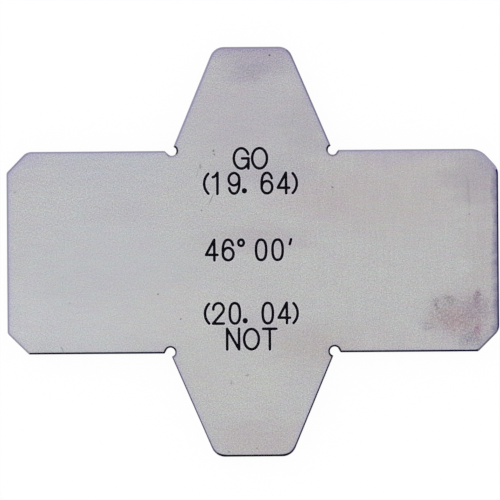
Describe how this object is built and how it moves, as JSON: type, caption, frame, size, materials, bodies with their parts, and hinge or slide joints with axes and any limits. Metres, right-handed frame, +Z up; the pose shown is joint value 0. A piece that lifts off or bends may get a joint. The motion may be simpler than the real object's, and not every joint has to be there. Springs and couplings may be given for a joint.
{
  "type": "shim limit gauge",
  "caption": "Flat ground steel go and no-go plate gauge: two bevelled grip arms, a tapered GO tab and a tapered NOT tab, with relief holes at the shoulders.",
  "frame": {"origin": "under the middle of the plate, on its back face, which is the face that it lies on", "axes": "+X runs along the two grip arms, +Y points from the NOT tab to the GO tab, and +Z is up, out of the marked face"},
  "size_m": [0.06, 0.05, 0.003],
  "materials": {
    "ground_steel": "matte ground and stoned steel, with dark cut edges",
    "mark_filling": "matte black filling of the engraved marks"
  },
  "bodies": {
    "root": {"gauge_plate": "ground_steel"}
  },
  "joints": []
}
